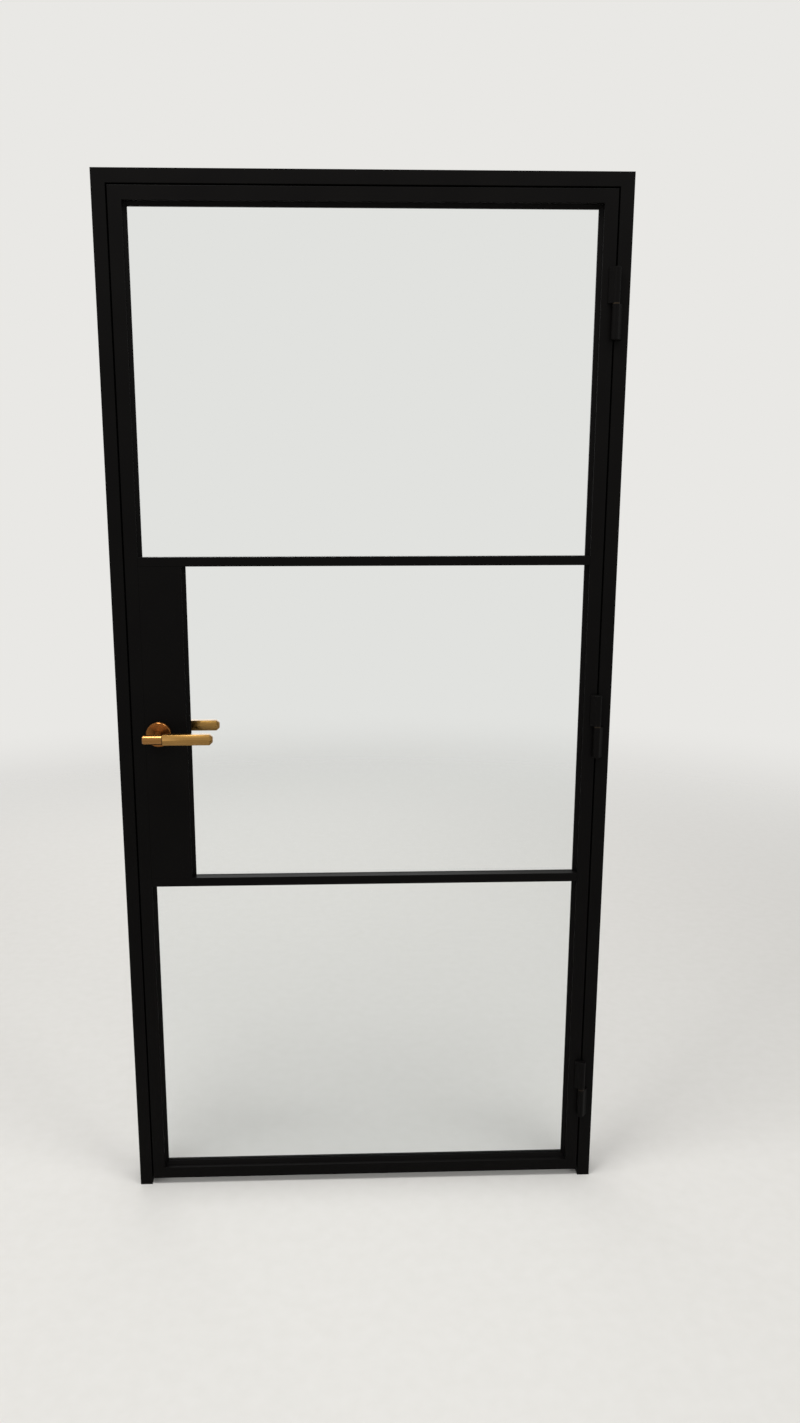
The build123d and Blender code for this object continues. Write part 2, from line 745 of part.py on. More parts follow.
# Bolts that draw the two rose bases together through the lock box, a six-sided head at each end
head_seat = leaf_depth / 2 + rose_base_depth
with BuildPart() as rose_bolts:
    with BuildSketch(spindle_middle):
        with Locations(rose_bolt_spots):
            Circle(rose_bolt_radius)
    extrude(amount=head_seat, both=True)
    for side in (1, -1):
        with BuildSketch(spindle_middle.offset(side * head_seat)):
            with Locations(rose_bolt_spots):
                RegularPolygon(bolt_head_radius, side_count=6)
        extrude(amount=side * bolt_head_depth)
save(rose_bolts.part, "rose_bolts")


# Drop-shaped section of a hinge knuckle, its wing to one side against the front of the member
wing_middle_x = (wing_reach + wing_overlap) / 2
wing_middle_y = knuckle_radius + free_gap - wing_thickness / 2


def knuckle_outline(side):
    with BuildSketch() as outline:
        Circle(knuckle_radius)
        with Locations((side * wing_middle_x, wing_middle_y)):
            Rectangle(wing_reach - wing_overlap, wing_thickness)
        make_hull()
    return outline.sketch


half_length = (hinge_length - washer_thickness) / 2
for name, level in hinge_levels.items():
    washer_bottom = level - washer_thickness / 2
    washer_top = level + washer_thickness / 2
    with BuildPart() as frame_half:
        with BuildSketch(Plane((hinge_x, hinge_y, washer_bottom - half_length))):
            add(knuckle_outline(1))
        extrude(amount=half_length)
        chamfer(frame_half.faces().sort_by(Axis.Z)[0].edges(), knuckle_end)
        with BuildSketch(Plane((hinge_x, hinge_y, washer_bottom))):
            Circle(pin_radius)
        extrude(amount=-pin_below, mode=Mode.SUBTRACT)
    save(frame_half.part, f"hinge_{name}_frame_half")
    with BuildPart() as leaf_half:
        with BuildSketch(Plane((hinge_x, hinge_y, washer_top))):
            add(knuckle_outline(-1))
        extrude(amount=half_length)
        chamfer(leaf_half.faces().sort_by(Axis.Z)[-1].edges(), knuckle_end)
        with BuildSketch(Plane((hinge_x, hinge_y, washer_top))):
            Circle(pin_radius + running)
        extrude(amount=pin_above + free_gap, mode=Mode.SUBTRACT)
    save(leaf_half.part, f"hinge_{name}_leaf_half")

# Hinge pins, fixed in the frame halves
with BuildPart() as hinge_pins:
    for level in hinge_levels.values():
        with BuildSketch(Plane((hinge_x, hinge_y, level - washer_thickness / 2 - pin_below))):
            Circle(pin_radius)
        extrude(amount=pin_below + washer_thickness + pin_above)
save(hinge_pins.part, "hinge_pins")

# Washers between the knuckles
with BuildPart() as hinge_washers:
    for level in hinge_levels.values():
        with BuildSketch(Plane((hinge_x, hinge_y, level - washer_thickness / 2))):
            Circle(washer_radius)
            Circle(pin_radius + running, mode=Mode.SUBTRACT)
        extrude(amount=washer_thickness)
save(hinge_washers.part, "hinge_washers")
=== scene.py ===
import math

import bmesh
import bpy
from mathutils import Matrix, Vector


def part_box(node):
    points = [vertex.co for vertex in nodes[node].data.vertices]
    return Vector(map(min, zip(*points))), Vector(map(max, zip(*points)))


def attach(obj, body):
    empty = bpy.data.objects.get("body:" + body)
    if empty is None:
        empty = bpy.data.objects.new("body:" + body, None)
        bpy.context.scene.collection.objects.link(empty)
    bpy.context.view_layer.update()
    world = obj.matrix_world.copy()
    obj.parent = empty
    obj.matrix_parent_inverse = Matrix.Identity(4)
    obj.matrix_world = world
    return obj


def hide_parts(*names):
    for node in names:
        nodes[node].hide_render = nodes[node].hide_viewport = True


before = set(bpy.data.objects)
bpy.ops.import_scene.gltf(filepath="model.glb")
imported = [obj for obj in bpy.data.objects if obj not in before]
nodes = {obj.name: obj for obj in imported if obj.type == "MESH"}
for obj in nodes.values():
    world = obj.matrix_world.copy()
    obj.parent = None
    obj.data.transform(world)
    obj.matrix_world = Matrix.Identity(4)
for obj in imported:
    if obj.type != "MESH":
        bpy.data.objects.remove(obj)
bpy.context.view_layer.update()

scene = bpy.context.scene

# Jambs and head
# Rectangular steel tube, mitred and welded at the top corners, with the welds ground flush.
# Powder coated satin black: a baked polyester film whose faint orange peel softens reflections.
MM = 0.001
COAT_BLACK = "#090808"
COAT_CLOUDED = "#0D0C0B"
COAT_PEEL = 2.5 * MM  # real peel is about 1 mm across, drawn wider so that it shows
COAT_PEEL_HEIGHT = 0.02 * MM
COAT_CLOUD = 90 * MM
COAT_ROUGHNESS = (0.36, 0.46)
COAT_SPECULAR = 0.036


def linear(code):
    """An sRGB hex colour as the linear colour that a socket takes."""
    parts = [int(code[at:at + 2], 16) / 255 for at in (1, 3, 5)]
    return (*(c / 12.92 if c <= 0.04045 else ((c + 0.055) / 1.055) ** 2.4 for c in parts), 1.0)


def add_node(tree, kind, settings, links):
    """Add a node with its settings and sockets filled in and its inputs linked."""
    node = tree.nodes.new(kind)
    for name, value in settings.items():
        if isinstance(name, str) and hasattr(node, name):
            setattr(node, name, value)
        else:
            node.inputs[name].default_value = value
    for name, source in links.items():
        tree.links.new(source, node.inputs[name])
    return node


def new_material(name, settings):
    """A material with its shader's plain sockets set. Returns it, its tree, shader and place."""
    material = bpy.data.materials.new(name)
    material.use_nodes = True
    tree = material.node_tree
    shader = tree.nodes["Principled BSDF"]
    for socket, value in settings.items():
        shader.inputs[socket].default_value = value
    place = add_node(tree, "ShaderNodeTexCoord", {}, {}).outputs["Object"]
    return material, tree, shader, place


def vary_surface(tree, shader, colours, pattern, roughness=None, relief=None, height=0.0):
    """Run a surface's colour, and its roughness if given, along a pattern, and raise a relief."""
    tone = add_node(
        tree,
        "ShaderNodeMixRGB",
        {"Color1": linear(colours[0]), "Color2": linear(colours[1])},
        {"Fac": pattern},
    )
    tree.links.new(tone.outputs["Color"], shader.inputs["Base Color"])
    if roughness:
        gloss = add_node(
            tree,
            "ShaderNodeMapRange",
            {"To Min": roughness[0], "To Max": roughness[1]},
            {"Value": pattern},
        )
        tree.links.new(gloss.outputs["Result"], shader.inputs["Roughness"])
    if relief:
        bump = add_node(tree, "ShaderNodeBump", {"Distance": height}, {"Height": relief})
        tree.links.new(bump.outputs["Normal"], shader.inputs["Normal"])


def dress(names, material):
    """Give CAD nodes a material."""
    for name in names:
        slots = nodes[name].data.materials
        slots.clear()
        slots.append(material)


powder_coat, tree, shader, place = new_material(
    "satin black powder coat", {"Specular IOR Level": COAT_SPECULAR}
)
cloud = add_node(tree, "ShaderNodeTexNoise", {"Scale": 1 / COAT_CLOUD, "Detail": 3.0}, {"Vector": place})
peel = add_node(tree, "ShaderNodeTexNoise", {"Scale": 1 / COAT_PEEL, "Detail": 1.0}, {"Vector": place})
vary_surface(
    tree,
    shader,
    (COAT_BLACK, COAT_CLOUDED),
    cloud.outputs["Fac"],
    COAT_ROUGHNESS,
    peel.outputs["Fac"],
    COAT_PEEL_HEIGHT,
)
dress(["jamb_lock_side", "jamb_hinge_side", "head"], powder_coat)

# Stop
# Three small steel tubes, mitred and welded inside the jambs and head behind the leaf.
# They are coated with the frame, in the same satin black.
dress(["stop_lock_side", "stop_hinge_side", "stop_head"], powder_coat)

# Frame seal
# One length of hollow D seal, black EPDM rubber, extruded and bonded to the front of the stop.
# Extrusion leaves a matt, almost sooty face with a fine grain.
RUBBER_BLACK = "#0C0C0C"
RUBBER_BLOOM = "#151514"
RUBBER_CLOUD = 25 * MM
RUBBER_GRAIN = 0.6 * MM
RUBBER_GRAIN_HEIGHT = 0.03 * MM
RUBBER_ROUGHNESS = (0.62, 0.8)
RUBBER_SPECULAR = 0.3

rubber, tree, shader, place = new_material("black EPDM rubber", {"Specular IOR Level": RUBBER_SPECULAR})
cloud = add_node(tree, "ShaderNodeTexNoise", {"Scale": 1 / RUBBER_CLOUD, "Detail": 4.0}, {"Vector": place})
grain = add_node(tree, "ShaderNodeTexNoise", {"Scale": 1 / RUBBER_GRAIN, "Detail": 2.0}, {"Vector": place})
vary_surface(
    tree,
    shader,
    (RUBBER_BLACK, RUBBER_BLOOM),
    cloud.outputs["Fac"],
    RUBBER_ROUGHNESS,
    grain.outputs["Fac"],
    RUBBER_GRAIN_HEIGHT,
)
dress(["frame_seal"], rubber)

# Strike and its box
# A lipped steel plate, coated black like the frame and let in flush with the jamb's inner face.
# Behind it is a box of moulded ABS that keeps the hole for the bolt clean and takes the screws.
# The mould was spark eroded, which leaves an even, dull grain.
ABS_BLACK = "#141414"
ABS_WORN = "#151514"
ABS_GRAIN = 0.5 * MM
ABS_GRAIN_HEIGHT = 0.03 * MM
ABS_ROUGHNESS = 0.5
ABS_IOR = 1.53

moulded_abs, tree, shader, place = new_material(
    "moulded black ABS", {"Roughness": ABS_ROUGHNESS, "IOR": ABS_IOR}
)
grain = add_node(tree, "ShaderNodeTexVoronoi", {"Scale": 1 / ABS_GRAIN}, {"Vector": place})
vary_surface(
    tree,
    shader,
    (ABS_BLACK, ABS_WORN),
    grain.outputs["Distance"],
    relief=grain.outputs["Distance"],
    height=ABS_GRAIN_HEIGHT,
)
dress(["strike_plate"], powder_coat)
dress(["strike_box"], moulded_abs)

# Strike plate's screws
# Two countersunk screws with a hexagon socket, blackened steel, one above and one below the hole
# for the bolt. Blackening is a thin oily oxide that stays dark, with brown clouds.
SCREW_HEAD_RADIUS = 3.7
SCREW_CORE_RADIUS = 1.95
SCREW_HEAD_DEPTH = 1.75
SCREW_LENGTH = 7.8
SCREW_SUNK = 0.05
SCREW_STEPS = 48
SOCKET_RIM_SHARE = 1 / 3
SOCKET_ACROSS_FLATS = 2.5
SOCKET_DEPTH = 1.2
SOCKET_SIDE = math.radians(60)
STRIKE_SCREW_INSET = 9.0
MERGED_WITHIN = 0.001
SHARP_EDGE = math.radians(32)
OXIDE_BLACK = "#17161A"
OXIDE_BROWN = "#1E1B19"
OXIDE_CLOUD = 1.5 * MM
OXIDE_METALLIC = 0.6
OXIDE_ROUGHNESS = 0.38

black_oxide, tree, shader, place = new_material(
    "blackened steel", {"Metallic": OXIDE_METALLIC, "Roughness": OXIDE_ROUGHNESS}
)
cloud = add_node(tree, "ShaderNodeTexNoise", {"Scale": 1 / OXIDE_CLOUD, "Detail": 3.0}, {"Vector": place})
vary_surface(tree, shader, (OXIDE_BLACK, OXIDE_BROWN), cloud.outputs["Fac"])


def finished_piece(name, mesh, material):
    """Close and scale a mesh drawn in millimetres, smooth its round faces and link its object."""
    bmesh.ops.remove_doubles(mesh, verts=mesh.verts, dist=MERGED_WITHIN)
    bmesh.ops.recalc_face_normals(mesh, faces=mesh.faces)
    bmesh.ops.scale(mesh, vec=(MM, MM, MM), verts=mesh.verts)
    for face in mesh.faces:
        face.smooth = True
    for edge in mesh.edges:
        edge.smooth = edge.calc_face_angle(0.0) < SHARP_EDGE
    data = bpy.data.meshes.new(name)
    mesh.to_mesh(data)
    mesh.free()
    data.materials.append(material)
    piece = bpy.data.objects.new(name, data)
    scene.collection.objects.link(piece)
    return piece


def socketed_screw(name, head_at, inwards, outline):
    """A screw with its head at head_at, whose outline gives radii and depths along inwards."""
    mesh = bmesh.new()
    rings = []
    for radius, depth in outline:
        made = bmesh.ops.create_circle(mesh, segments=SCREW_STEPS, radius=radius)
        bmesh.ops.translate(mesh, verts=made["verts"], vec=(0, 0, -depth))
        ring = {edge for vert in made["verts"] for edge in vert.link_edges}
        if rings:
            bmesh.ops.bridge_loops(mesh, edges=list(ring | rings[-1]))
        rings.append(ring)
    bmesh.ops.contextual_create(mesh, geom=list(rings[-1]))
    top = bmesh.ops.contextual_create(mesh, geom=list(rings[0]))["faces"]
    head_radius = outline[0][0]
    bmesh.ops.inset_individual(mesh, faces=top, thickness=head_radius * SOCKET_RIM_SHARE)
    for vert in top[0].verts:
        off_flat = (math.atan2(vert.co.y, vert.co.x) % SOCKET_SIDE) - SOCKET_SIDE / 2
        reach = SOCKET_ACROSS_FLATS / 2 / math.cos(off_flat)
        vert.co.xy = vert.co.xy.normalized() * reach
    floor_of_socket = bmesh.ops.extrude_discrete_faces(mesh, faces=top)["faces"]
    bmesh.ops.translate(mesh, verts=floor_of_socket[0].verts, vec=(0, 0, -SOCKET_DEPTH))
    turn = (-inwards).to_track_quat("Z", "X").to_matrix().to_4x4()
    bmesh.ops.transform(mesh, matrix=Matrix.Translation(head_at) @ turn, verts=mesh.verts)
    return finished_piece(name, mesh, black_oxide)


def box_mm(name):
    """Lowest and highest corner of a CAD node, in millimetres."""
    low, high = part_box(name)
    return Vector(low) / MM, Vector(high) / MM


def screws_in_plate(plate, name, inset, inward):
    """A screw sunk in each end of an upright plate. inward is -1 or 1, the screws' way along X."""
    low, high = box_mm(plate)
    face = high.x if inward < 0 else low.x
    outline = (
        (SCREW_HEAD_RADIUS, 0.0),
        (SCREW_CORE_RADIUS, SCREW_HEAD_DEPTH),
        (SCREW_CORE_RADIUS, SCREW_LENGTH),
    )
    screws = []
    for end, height in (("upper", high.z - inset), ("lower", low.z + inset)):
        head_at = Vector((face + inward * SCREW_SUNK, 0, height))
        screws.append(socketed_screw(f"{name}_{end}", head_at, Vector((inward, 0, 0)), outline))
    return screws


for screw in screws_in_plate("strike_plate", "strike_screw", STRIKE_SCREW_INSET, -1):
    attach(screw, "frame")

# Hinges
# Lift-off hinges of drop-shaped steel profile, welded to the frame and the leaf and coated with
# them. The leaf's knuckle turns on a zinc-plated pin, bright and faintly cloudy, and rests on a
# turned brass washer, whose rim has fine rings and is drawn dull and dark brown.
HINGES = ("top", "middle", "bottom")
# The washer's brass is drawn dull and dark brown.
DULLED_BRASS = "#3B3022"
DULLED_BRASS_DARK = "#221B14"
DULLED_METALLIC = 0.8
DULLED_ROUGHNESS = 0.5
TURNING_STEP = 0.4 * MM
ZINC_LIGHT = "#C3C6C8"
ZINC_DARK = "#A3A7AA"
ZINC_CLOUD = 4 * MM
ZINC_ROUGHNESS = (0.3, 0.46)

dulled_brass, tree, shader, place = new_material(
    "dark dulled turned brass", {"Metallic": DULLED_METALLIC, "Roughness": DULLED_ROUGHNESS}
)
height_only = add_node(tree, "ShaderNodeSeparateXYZ", {}, {"Vector": place}).outputs["Z"]
tool_steps = add_node(
    tree, "ShaderNodeMath", {"operation": "DIVIDE", 1: TURNING_STEP}, {0: height_only}
)
lines = add_node(tree, "ShaderNodeTexNoise", {"noise_dimensions": "1D"}, {"W": tool_steps.outputs[0]})
vary_surface(tree, shader, (DULLED_BRASS, DULLED_BRASS_DARK), lines.outputs["Fac"])

zinc_plate, tree, shader, place = new_material("zinc-plated steel", {"Metallic": 1.0})
cloud = add_node(tree, "ShaderNodeTexNoise", {"Scale": 1 / ZINC_CLOUD, "Detail": 4.0}, {"Vector": place})
vary_surface(tree, shader, (ZINC_LIGHT, ZINC_DARK), cloud.outputs["Fac"], ZINC_ROUGHNESS)

dress([f"hinge_{level}_{half}_half" for level in HINGES for half in ("frame", "leaf")], powder_coat)
dress(["hinge_pins"], zinc_plate)
dress(["hinge_washers"], dulled_brass)

# Leaf's members
# Stiles, rails and slim bars of steel tube with a bevelled leg that frames each pane, mitred and
# welded, and a folded sheet box for the lock. All are powder coated like the frame.
dress(["stile_lock_side", "stile_hinge_side", "rail_top", "rail_bottom"], powder_coat)
dress(["bar_upper", "bar_lower", "lock_box"], powder_coat)

# Panes
# Laminated float glass, 6.4 mm, clear and all but colourless. Light goes straight through a flat
# pane, so it is drawn clear, with a mirror's gloss on its outer faces that rises at a slant.
GLASS_TINT = "#FBFCFC"
GLASS_IOR = 1.52
GLASS_RIPPLE = 400 * MM
GLASS_RIPPLE_HEIGHT = 0.01 * MM

float_glass = bpy.data.materials.new("clear float glass")
float_glass.use_nodes = True
tree = float_glass.node_tree
tree.nodes.clear()
place = add_node(tree, "ShaderNodeTexCoord", {}, {}).outputs["Object"]
ripple = add_node(tree, "ShaderNodeTexNoise", {"Scale": 1 / GLASS_RIPPLE, "Detail": 1.0}, {"Vector": place})
bump = add_node(tree, "ShaderNodeBump", {"Distance": GLASS_RIPPLE_HEIGHT}, {"Height": ripple.outputs["Fac"]})
clear = add_node(tree, "ShaderNodeBsdfTransparent", {"Color": linear(GLASS_TINT)}, {})
shine = add_node(tree, "ShaderNodeBsdfGlossy", {"Roughness": 0.0}, {"Normal": bump.outputs["Normal"]})
mirrored = add_node(tree, "ShaderNodeFresnel", {"IOR": GLASS_IOR}, {})
inside = add_node(tree, "ShaderNodeNewGeometry", {}, {}).outputs["Backfacing"]
outside = add_node(tree, "ShaderNodeMath", {"operation": "SUBTRACT", 0: 1.0}, {1: inside})
share = add_node(
    tree,
    "ShaderNodeMath",
    {"operation": "MULTIPLY"},
    {0: mirrored.outputs["Fac"], 1: outside.outputs[0]},
)
pane_mix = add_node(
    tree,
    "ShaderNodeMixShader",
    {},
    {0: share.outputs[0], 1: clear.outputs["BSDF"], 2: shine.outputs["BSDF"]},
)
add_node(tree, "ShaderNodeOutputMaterial", {}, {"Surface": pane_mix.outputs["Shader"]})
dress(["glass_top", "glass_middle", "glass_bottom"], float_glass)

# Gaskets and beads
# A channel of black rubber round the edge of each pane, and square steel beads pressed in
# behind it, coated with the leaf.
PANES = ("top", "middle", "bottom")
BEAD_SIDES = ("upper", "lower", "left", "right")
dress([f"gasket_{pane}" for pane in PANES], rubber)
dress([f"bead_{pane}_{side}" for pane in PANES for side in BEAD_SIDES], powder_coat)

# Latch
# A mortice latch: zinc-plated case, spring and bolt behind a faceplate coated black, screwed to
# a plate welded inside the stile.
FACE_SCREW_INSET = 9.0

dress(["latch_case", "latch_bolt", "latch_spring", "lock_backing_plate"], zinc_plate)
dress(["latch_faceplate"], powder_coat)
for screw in screws_in_plate("latch_faceplate", "faceplate_screw", FACE_SCREW_INSET, 1):
    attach(screw, "leaf")

# Roses
# A round cover of pressed brass over a base cast in zinc, grey and faintly grained, on each face
# of the lock box, the bases drawn together by two bolts. The cover's face was brushed as it
# spun, so its lines are rings, and each light in it is drawn out to a streak across them.
# Both ring tones are painted darker and browner than the grips' brass, as painted shade and painted dark
# reflection; the rings between them are the brushing.
SHADED_ROSE_LIGHT = "#A8703A"
SHADED_ROSE_DARK = "#623C20"
ROSE_STREAK = 0.9
ROSE_RIM = 5 * MM  # turns the streak up the rose's wall
RING_STEP = 1.4 * MM  # real rings are a tenth of that, drawn wider so that they show
BRUSH_HEIGHT = 0.006 * MM
ROSE_ROUGHNESS = (0.2, 0.38)
CAST_LIGHT = "#A9ABAD"
CAST_DARK = "#8B8D90"
CAST_GRAIN = 0.8 * MM
CAST_GRAIN_HEIGHT = 0.04 * MM
CAST_ROUGHNESS = 0.5

rose_low, rose_high = box_mm("rose_front")
rose_centre = (rose_low + rose_high) / 2 * MM
# The cover's colour carries painted shade and painted dark reflection on the grips' brass.
shaded_spun_brass, tree, shader, place = new_material(
    "spun satin brass with painted shade", {"Metallic": 1.0, "Anisotropic": ROSE_STREAK}
)
centred = add_node(
    tree,
    "ShaderNodeMapping",
    {"Location": (-rose_centre.x, ROSE_RIM, -rose_centre.z), "Scale": (1, 0, 1)},
    {"Vector": place},
)
outwards = add_node(
    tree,
    "ShaderNodeVectorTransform",
    {"vector_type": "VECTOR", "convert_from": "OBJECT", "convert_to": "WORLD"},
    {"Vector": centred.outputs["Vector"]},
)
tree.links.new(outwards.outputs["Vector"], shader.inputs["Tangent"])
radius = add_node(tree, "ShaderNodeVectorMath", {"operation": "LENGTH"}, {0: centred.outputs["Vector"]})
ring_count = add_node(
    tree, "ShaderNodeMath", {"operation": "DIVIDE", 1: RING_STEP}, {0: radius.outputs["Value"]}
)
rings = add_node(
    tree, "ShaderNodeTexNoise", {"noise_dimensions": "1D", "Detail": 3.0}, {"W": ring_count.outputs[0]}
)
vary_surface(
    tree,
    shader,
    (SHADED_ROSE_LIGHT, SHADED_ROSE_DARK),
    rings.outputs["Fac"],
    ROSE_ROUGHNESS,
    rings.outputs["Fac"],
    BRUSH_HEIGHT,
)
dress(["rose_front", "rose_back"], shaded_spun_brass)

cast_zinc, tree, shader, place = new_material(
    "cast zinc alloy", {"Metallic": 1.0, "Roughness": CAST_ROUGHNESS}
)
grain = add_node(tree, "ShaderNodeTexNoise", {"Scale": 1 / CAST_GRAIN, "Detail": 3.0}, {"Vector": place})
vary_surface(
    tree,
    shader,
    (CAST_LIGHT, CAST_DARK),
    grain.outputs["Fac"],
    relief=grain.outputs["Fac"],
    height=CAST_GRAIN_HEIGHT,
)
dress(["rose_base_front", "rose_base_back"], cast_zinc)
dress(["rose_bolts"], zinc_plate)

# Lever necks
# A round neck and a collar across its end, turned from brass bar, brushed along the collar and
# thinly lacquered, a little redder than the grips. Brushing draws its highlights out across the
# strokes. Under the neck a grub screw bears on the spindle.
GRUB_RADIUS = 2.45
GRUB_LENGTH = 3.3
GRUB_HEAD_DEPTH = 0.4
GRUB_FROM_LEAF = 16.0
NECK_LIGHT = "#A9793F"
NECK_DARK = "#6E4A25"
BRASS_STREAK = 0.5
BRASS_ROUGHNESS = (0.2, 0.3)
LACQUER = 0.25
LACQUER_ROUGHNESS = 0.12
BRUSH_STEP = 1.1 * MM  # real strokes are a tenth of that, drawn wider so that they show
BRUSH_LENGTH = 40 * MM
BRUSHED_ALONG = (1.0, 0.02, 0.03)  # a hair off X, so that the end faces have a direction too


def brush_along_lever(name, light, dark):
    """Lacquered satin brass with strokes along X, which draw its highlights out across them."""
    settings = {
        "Metallic": 1.0,
        "Anisotropic": BRASS_STREAK,
        "Coat Weight": LACQUER,
        "Coat Roughness": LACQUER_ROUGHNESS,
    }
    material, tree, shader, place = new_material(name, settings)
    crosswise = add_node(
        tree,
        "ShaderNodeVectorMath",
        {"operation": "CROSS_PRODUCT", 1: BRUSHED_ALONG},
        {0: place.node.outputs["Normal"]},
    )
    turned = add_node(
        tree,
        "ShaderNodeVectorTransform",
        {"vector_type": "VECTOR", "convert_from": "OBJECT", "convert_to": "WORLD"},
        {"Vector": crosswise.outputs["Vector"]},
    )
    tree.links.new(turned.outputs["Vector"], shader.inputs["Tangent"])
    drawn_out = add_node(
        tree,
        "ShaderNodeMapping",
        {"Scale": (1 / BRUSH_LENGTH, 1 / BRUSH_STEP, 1 / BRUSH_STEP)},
        {"Vector": place},
    )
    strokes = add_node(
        tree,
        "ShaderNodeTexNoise",
        {"Scale": 1.0, "Detail": 3.0},
        {"Vector": drawn_out.outputs["Vector"]},
    )
    vary_surface(
        tree,
        shader,
        (light, dark),
        strokes.outputs["Fac"],
        BRASS_ROUGHNESS,
        strokes.outputs["Fac"],
        BRUSH_HEIGHT,
    )
    return material


neck_brass = brush_along_lever("turned and brushed brass", NECK_LIGHT, NECK_DARK)
dress(["lever_front_neck", "lever_back_neck"], neck_brass)

leaf_low, leaf_high = box_mm("stile_lock_side")
spindle_low, spindle_high = box_mm("spindle")
grub_outline = ((GRUB_RADIUS, 0.0), (GRUB_RADIUS, GRUB_HEAD_DEPTH), (GRUB_RADIUS, GRUB_LENGTH))
for side, along in (("front", leaf_low.y - GRUB_FROM_LEAF), ("back", leaf_high.y + GRUB_FROM_LEAF)):
    head_at = Vector(((spindle_low.x + spindle_high.x) / 2, along, spindle_low.z - GRUB_LENGTH))
    screw = socketed_screw(f"grub_screw_{side}", head_at, Vector((0, 0, 1)), grub_outline)
    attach(screw, "lever_set")

# Lever grips
# Six-sided brass bar screwed into the collar, its end bevelled to a blunt point and every edge
# just eased. It is brushed along its length, so each flat shows its own even tone, and
# lacquered like the necks.
GRIP_EDGE = 1.0
GRIP_EDGE_STEPS = 3
GRIP_POINT = 6.0
GRIP_ROOT_CHAMFER = 0.8
GRIP_GROOVE = 1.3
GRIP_GROOVE_RADIUS = 8.2
GRIP_ACROSS_FLATS = 21.0
GRIP_SIDES = 6
GRIP_LIGHT = "#AC8344"
GRIP_DARK = "#705026"

grip_brass = brush_along_lever("brushed satin brass", GRIP_LIGHT, GRIP_DARK)
collar_right = box_mm("lever_front_neck")[1].x
corner_radius = GRIP_ACROSS_FLATS / 2 / math.cos(math.pi / GRIP_SIDES)
turn = Matrix.Rotation(math.radians(90), 4, "Y")
for side in ("front", "back"):
    low, high = box_mm(f"lever_{side}_grip")
    middle = (low + high) / 2
    outline = (
        (collar_right, GRIP_GROOVE_RADIUS),
        (collar_right + GRIP_GROOVE, GRIP_GROOVE_RADIUS),
        (collar_right + GRIP_GROOVE, corner_radius - GRIP_ROOT_CHAMFER),
        (collar_right + GRIP_GROOVE + GRIP_ROOT_CHAMFER, corner_radius),
        (high.x - GRIP_POINT, corner_radius),
        (high.x, corner_radius - GRIP_POINT),
    )
    mesh = bmesh.new()
    hexagons = []
    for along, radius_here in outline:
        made = bmesh.ops.create_circle(mesh, segments=GRIP_SIDES, radius=radius_here)
        move = Matrix.Translation((along, middle.y, middle.z))
        bmesh.ops.transform(mesh, matrix=move @ turn, verts=made["verts"])
        hexagon = {edge for vert in made["verts"] for edge in vert.link_edges}
        if hexagons:
            bmesh.ops.bridge_loops(mesh, edges=list(hexagon | hexagons[-1]))
        hexagons.append(hexagon)
    bmesh.ops.contextual_create(mesh, geom=list(hexagons[0]))
    bmesh.ops.contextual_create(mesh, geom=list(hexagons[-1]))
    bmesh.ops.recalc_face_normals(mesh, faces=mesh.faces)
    bmesh.ops.bevel(
        mesh,
        geom=mesh.edges,
        offset=GRIP_EDGE,
        segments=GRIP_EDGE_STEPS,
        profile=0.5,
        affect="EDGES",
        material=-1,
        clamp_overlap=True,
    )
    grip = finished_piece(f"grip_{side}", mesh, grip_brass)
    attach(grip, "lever_set")
    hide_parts(f"lever_{side}_grip")

# Spindle and follower
# A square steel bar, zinc plated, through both necks and the follower that draws the bolt.
# Nothing of them shows while the door is whole.
dress(["spindle", "follower"], zinc_plate)

# The studio
# A plain pale floor that fades into the backdrop, under soft light from panels in front, above
# and behind, so that the black coat keeps its edges and the brass has light to mirror.
FLOOR_COLOUR = "#E4E2DE"
FLOOR_SPECKLE = "#DEDCD7"
FLOOR_ROUGHNESS = 0.85
FLOOR_SPECULAR = 0.2
FLOOR_RADIUS = 6000.0
FLOOR_STEPS = 96
FLOOR_FADE = (1500 * MM, 5000 * MM)
FLOOR_GRAIN = 30 * MM
BACKDROP_COLOUR = "#E9E8E5"
WORLD_LIGHT = 0.57

floor_mesh = bmesh.new()
bmesh.ops.create_circle(floor_mesh, cap_ends=True, segments=FLOOR_STEPS, radius=FLOOR_RADIUS)
floor_paint, tree, shader, place = new_material(
    "pale floor paint", {"Roughness": FLOOR_ROUGHNESS, "Specular IOR Level": FLOOR_SPECULAR}
)
grain = add_node(tree, "ShaderNodeTexNoise", {"Scale": 1 / FLOOR_GRAIN, "Detail": 2.0}, {"Vector": place})
vary_surface(tree, shader, (FLOOR_COLOUR, FLOOR_SPECKLE), grain.outputs["Fac"])
from_middle = add_node(tree, "ShaderNodeVectorMath", {"operation": "LENGTH"}, {0: place})
fade = add_node(
    tree,
    "ShaderNodeMapRange",
    {"interpolation_type": "SMOOTHSTEP", "From Min": FLOOR_FADE[0], "From Max": FLOOR_FADE[1]},
    {"Value": from_middle.outputs["Value"]},
)
nothing = add_node(tree, "ShaderNodeBsdfTransparent", {}, {})
thinned = add_node(
    tree,
    "ShaderNodeMixShader",
    {},
    {0: fade.outputs["Result"], 1: shader.outputs["BSDF"], 2: nothing.outputs["BSDF"]},
)
tree.links.new(thinned.outputs["Shader"], tree.nodes["Material Output"].inputs["Surface"])
floor = finished_piece("studio_floor", floor_mesh, floor_paint)

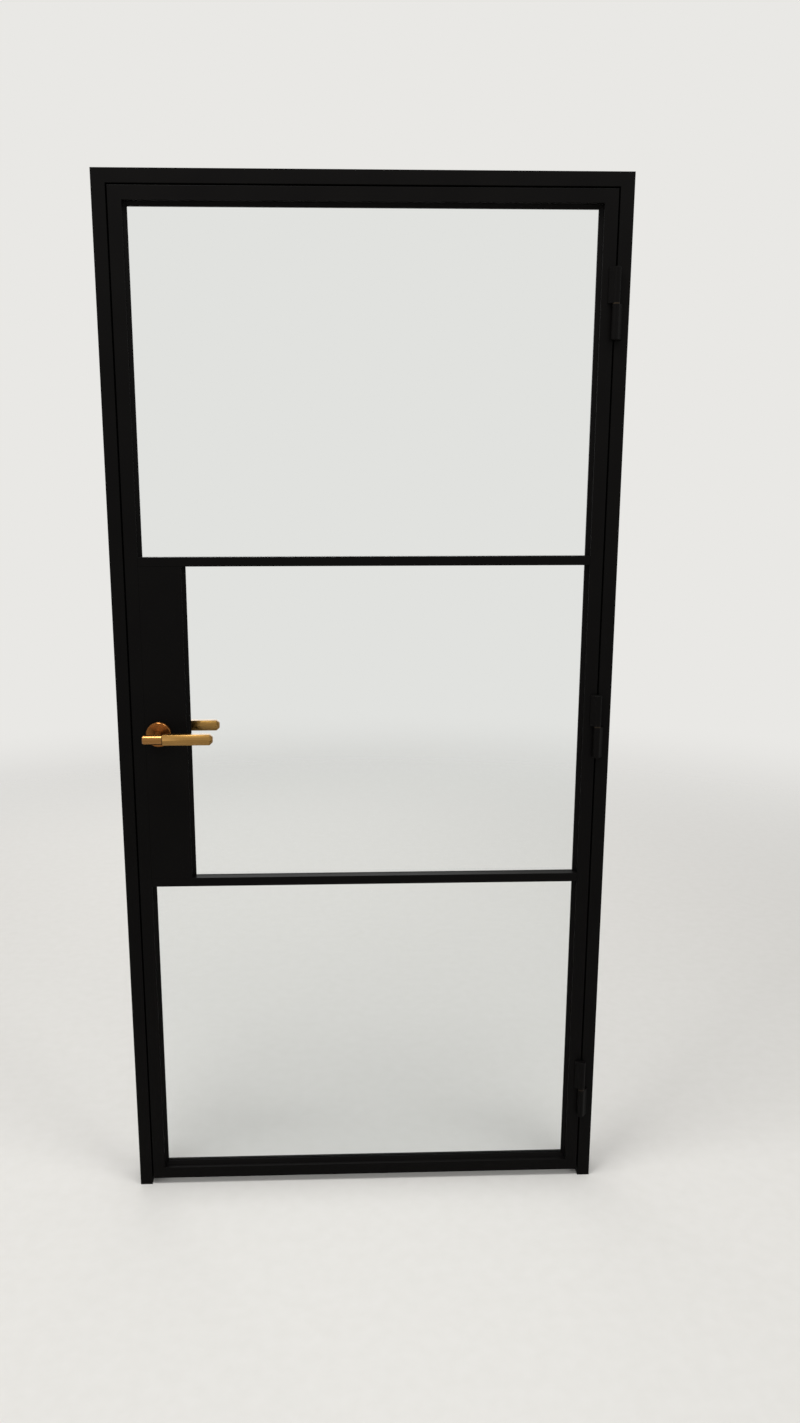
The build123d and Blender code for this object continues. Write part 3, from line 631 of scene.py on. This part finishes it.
world = bpy.data.worlds.new("studio")
scene.world = world
world.use_nodes = True
tree = world.node_tree
tree.nodes.clear()
seen = add_node(tree, "ShaderNodeLightPath", {}, {})
camera_or_gloss = add_node(
    tree,
    "ShaderNodeMath",
    {"operation": "MAXIMUM"},
    {0: seen.outputs["Is Camera Ray"], 1: seen.outputs["Is Glossy Ray"]},
)
shown = add_node(
    tree,
    "ShaderNodeMath",
    {"operation": "MAXIMUM"},
    {0: camera_or_gloss.outputs[0], 1: seen.outputs["Is Transmission Ray"]},
)
soft_light = add_node(tree, "ShaderNodeBackground", {"Color": (1, 1, 1, 1), "Strength": WORLD_LIGHT}, {})
backdrop = add_node(tree, "ShaderNodeBackground", {"Color": linear(BACKDROP_COLOUR), "Strength": 1.0}, {})
both = add_node(
    tree,
    "ShaderNodeMixShader",
    {},
    {0: shown.outputs[0], 1: soft_light.outputs[0], 2: backdrop.outputs[0]},
)
add_node(tree, "ShaderNodeOutputWorld", {}, {"Surface": both.outputs[0]})

# Each panel's name, place, width and depth in metres, and its power in watts
PANELS = (
    ("key panel", Vector((-2.4, -2.6, 3.2)), 2.4, 1.6, 13),
    ("fill panel", Vector((2.8, -2.6, 2.4)), 2.0, 2.0, 8),
    ("overhead left panel", Vector((-0.65, -0.6, 3.4)), 1.0, 0.7, 34),
    ("overhead right panel", Vector((0.9, -0.9, 3.4)), 1.0, 1.0, 20),
    ("rear panel", Vector((-0.7, 3.2, 1.9)), 3.0, 1.4, 24),
)
AIMED_AT = Vector((0, 0, 1.05))

for panel_name, at, width, depth, power in PANELS:
    lamp = bpy.data.lights.new(panel_name, "AREA")
    lamp.shape = "RECTANGLE"
    lamp.size = width
    lamp.size_y = depth
    lamp.energy = power
    panel = bpy.data.objects.new(panel_name, lamp)
    panel.location = at
    panel.rotation_euler = (AIMED_AT - at).to_track_quat("-Z", "Y").to_euler()
    scene.collection.objects.link(panel)

# The camera
# A phone held upright about 1.5 m up and two metres in front of the door, tilted down and turned
# a little to the right, with its picture cut off-centre.
CAMERA_AT = Vector((-67.5, -2049.2, 1468.3)) * MM
CAMERA_PITCH = math.radians(-11.74)
CAMERA_YAW = math.radians(1.844)
CAMERA_ROLL = math.radians(-0.093)
PICTURE_HEIGHT = 1423
FOCAL_PIXELS = 1047.4
SHIFT_PIXELS = 35.4
SENSOR_HEIGHT = 36.0  # Blender lays its sensor width along the longer side, here the height

view = bpy.data.cameras.new("camera")
view.sensor_width = SENSOR_HEIGHT
view.lens = FOCAL_PIXELS / PICTURE_HEIGHT * SENSOR_HEIGHT
view.shift_x = SHIFT_PIXELS / PICTURE_HEIGHT
camera = bpy.data.objects.new("camera", view)
camera.location = CAMERA_AT
heading = Matrix.Rotation(-CAMERA_YAW, 4, "Z")
tilted = heading @ Matrix.Rotation(math.radians(90) + CAMERA_PITCH, 4, "X")
camera.rotation_euler = (tilted @ Matrix.Rotation(CAMERA_ROLL, 4, "Z")).to_euler()
scene.collection.objects.link(camera)
scene.camera = camera
scene.view_settings.view_transform = "Standard"
